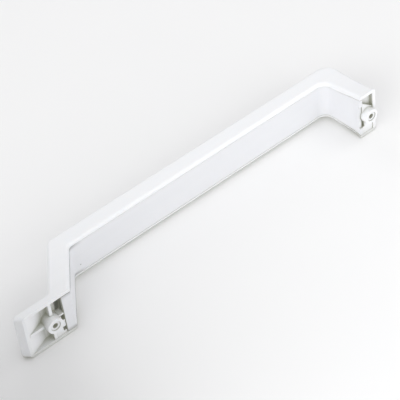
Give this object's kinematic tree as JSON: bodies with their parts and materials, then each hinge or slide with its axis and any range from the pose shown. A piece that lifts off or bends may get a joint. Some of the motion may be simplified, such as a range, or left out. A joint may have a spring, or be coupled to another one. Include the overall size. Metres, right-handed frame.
{
  "type": "microwave door handle",
  "caption": "Long pull handle for a microwave oven door, with a hollow waisted shell, an inner cover, one leaning leg with a long foot, one upright leg, and a screw boss in each foot.",
  "frame": {"origin": "midway between the two screw holes, in the mounting plane where the feet stand on the door, at half the width of the handle", "axes": "+X along the handle from the long foot to the short foot, +Y away from the door, +Z across the width; the handle lies on its side face at -Z"},
  "size_m": [0.2828, 0.0472, 0.035],
  "materials": {
    "shell": "semi-gloss, moulded white",
    "cover": "semi-gloss, moulded white"
  },
  "bodies": {
    "root": {"outer_shell": "shell", "inner_cover": "cover"}
  },
  "joints": []
}
